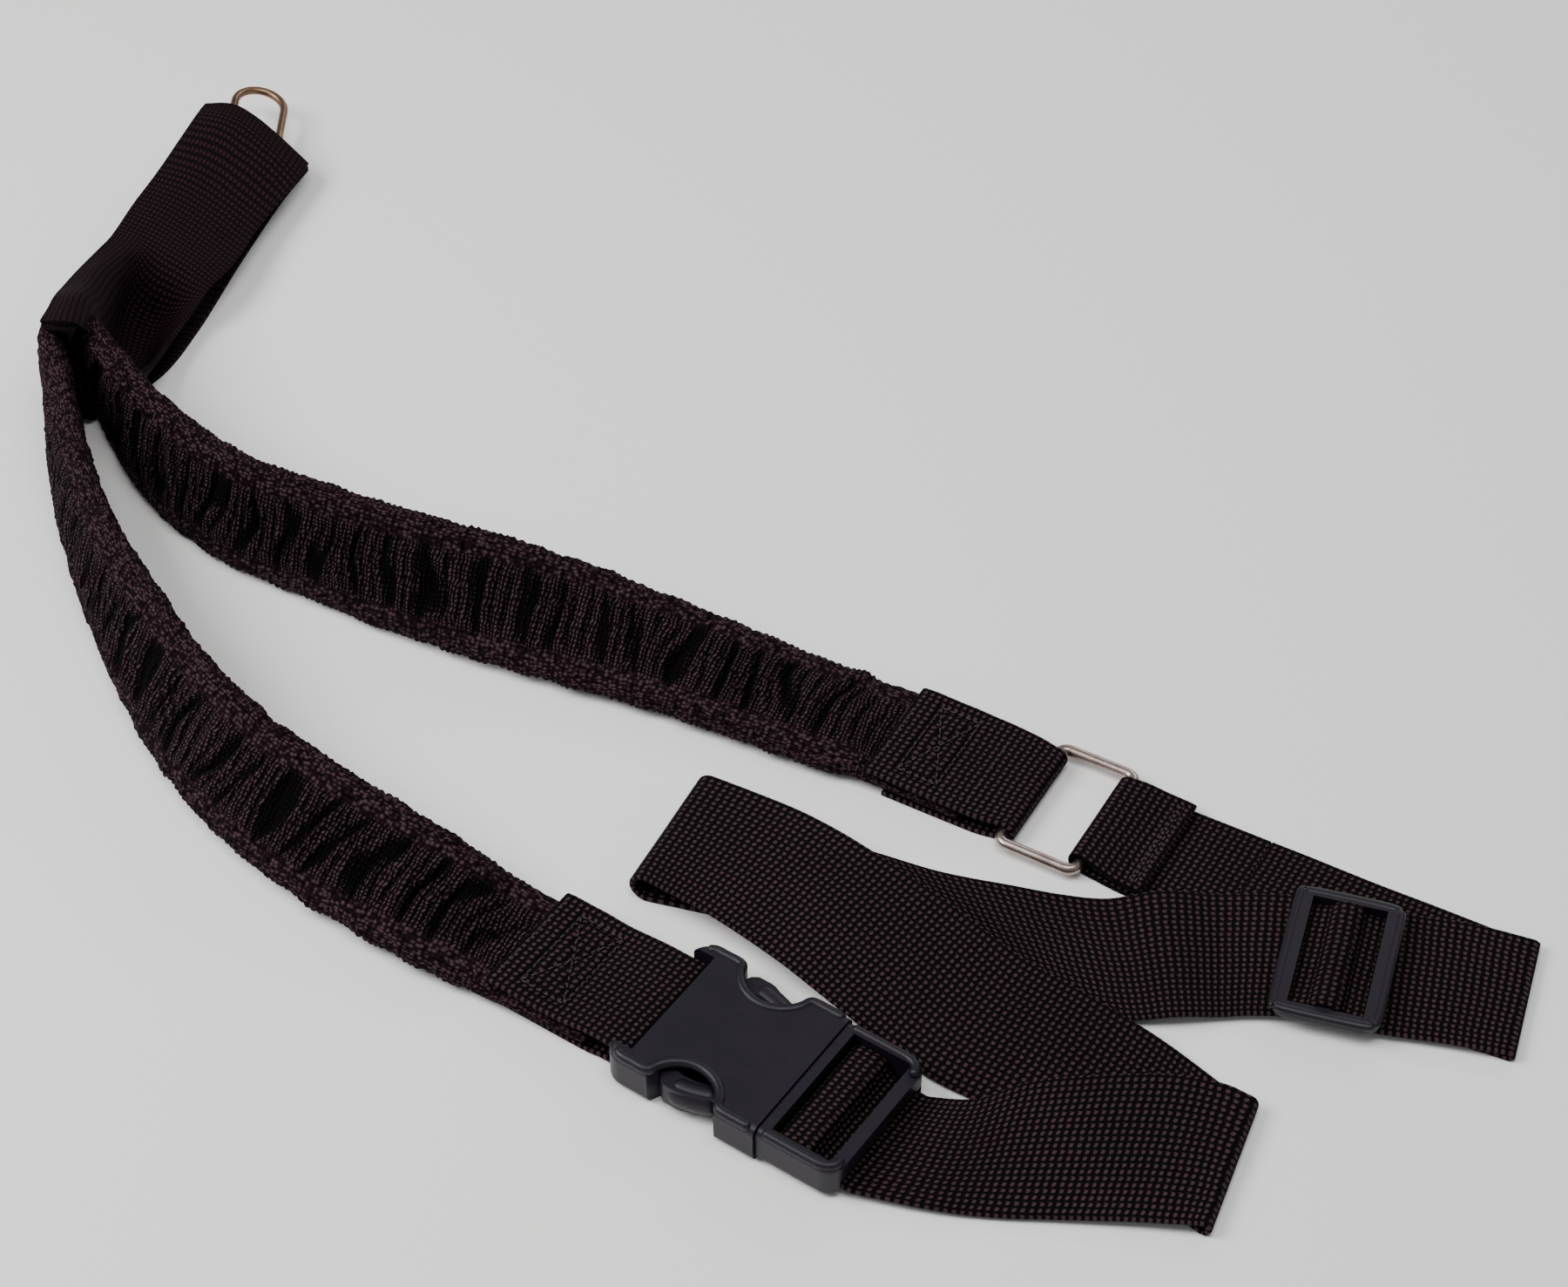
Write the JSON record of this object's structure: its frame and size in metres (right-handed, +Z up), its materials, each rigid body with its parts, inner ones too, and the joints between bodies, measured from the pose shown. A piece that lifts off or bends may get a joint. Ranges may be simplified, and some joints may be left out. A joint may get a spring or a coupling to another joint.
{
  "type": "gait belt",
  "caption": "Walking-assistance belt with a gathered padded sleeve, side-release buckle, metal ring, adjuster slide and a tether loop, laid out folded on a table.",
  "frame": {"origin": "on the table under the middle of the whole laid-out belt", "axes": "+Z up from the table; +Y away from the viewer of the layout; +X to the right, towards the first fold of the adjuster webbing"},
  "size_m": [0.4491, 0.4822, 0.0432],
  "materials": {
    "gathered_sleeve": "matte ruched knit",
    "elastic": "woven elastic",
    "webbing": "ribbed woven webbing",
    "tether_webbing": "ribbed woven webbing",
    "thread": "sewing thread",
    "moulded_plastic": "fine-grained moulding",
    "nickel_wire": "satin nickel",
    "dull_wire": "dull warm metal"
  },
  "bodies": {
    "belt": {"buckle_arm_sleeve": "gathered_sleeve", "ring_arm_sleeve": "gathered_sleeve", "sleeve_fold": "gathered_sleeve", "buckle_arm_elastic": "elastic", "ring_arm_elastic": "elastic", "buckle_tab": "webbing", "ring_tab": "webbing", "buckle_tab_stitching": "thread", "ring_tab_stitching": "thread", "lower_run": "webbing", "first_fold": "webbing", "upper_run": "webbing", "rolled_fold": "webbing", "top_run": "webbing", "buckle_housing": "moulded_plastic"},
    "male_buckle": {"buckle_frame": "moulded_plastic", "buckle_wrap": "webbing", "return_run": "webbing", "second_fold": "webbing"},
    "left_prong": {"prong_left": "moulded_plastic"},
    "right_prong": {"prong_right": "moulded_plastic"},
    "ring": {"rectangular_ring": "nickel_wire", "ring_loop": "webbing"},
    "glide": {"tri_glide": "moulded_plastic", "glide_webbing": "webbing"},
    "tether": {"tether_upper": "tether_webbing", "tether_lower": "tether_webbing", "tether_crease": "tether_webbing", "tether_strap": "tether_webbing"},
    "tether_link": {"tether_ring": "dull_wire"}
  },
  "joints": [
    {"name": "buckle_slide", "type": "slide", "parent": "belt", "child": "male_buckle", "axis": [0.8231, -0.5678, 0], "range_m": [0, 0.026]},
    {"name": "left_prong_hinge", "type": "hinge", "parent": "male_buckle", "child": "left_prong", "pos_m": [0.0236, -0.18295, 0.0067], "axis": [0, 0, 1], "range_deg": [0, 20.1]},
    {"name": "right_prong_hinge", "type": "hinge", "parent": "male_buckle", "child": "right_prong", "pos_m": [0.00656, -0.20764, 0.0067], "axis": [0, 0, -1], "range_deg": [0, 20.1]},
    {"name": "ring_hinge", "type": "hinge", "parent": "belt", "child": "ring", "pos_m": [0.08397, -0.08692, 0.00365], "axis": [-0.4924, -0.8704, 0], "range_deg": [0, 30]},
    {"name": "glide_slide", "type": "slide", "parent": "belt", "child": "glide", "axis": [0.9588, -0.284, 0], "range_m": [-0.018, 0.012]},
    {"name": "tether_swing", "type": "hinge", "parent": "belt", "child": "tether", "pos_m": [-0.21305, 0.079, 0], "axis": [0, 0, 1], "range_deg": [-10, 10]},
    {"name": "tether_ring_hinge", "type": "hinge", "parent": "tether", "child": "tether_link", "pos_m": [-0.17155, 0.2115, 0.0116], "axis": [0.9658, -0.0169, -0.2588], "range_deg": [0, 45]}
  ],
  "couplings": [
    {"joint": "left_prong_hinge", "follows": "buckle_slide", "rad_per_m": 13.426},
    {"joint": "right_prong_hinge", "follows": "buckle_slide", "rad_per_m": 13.426}
  ]
}
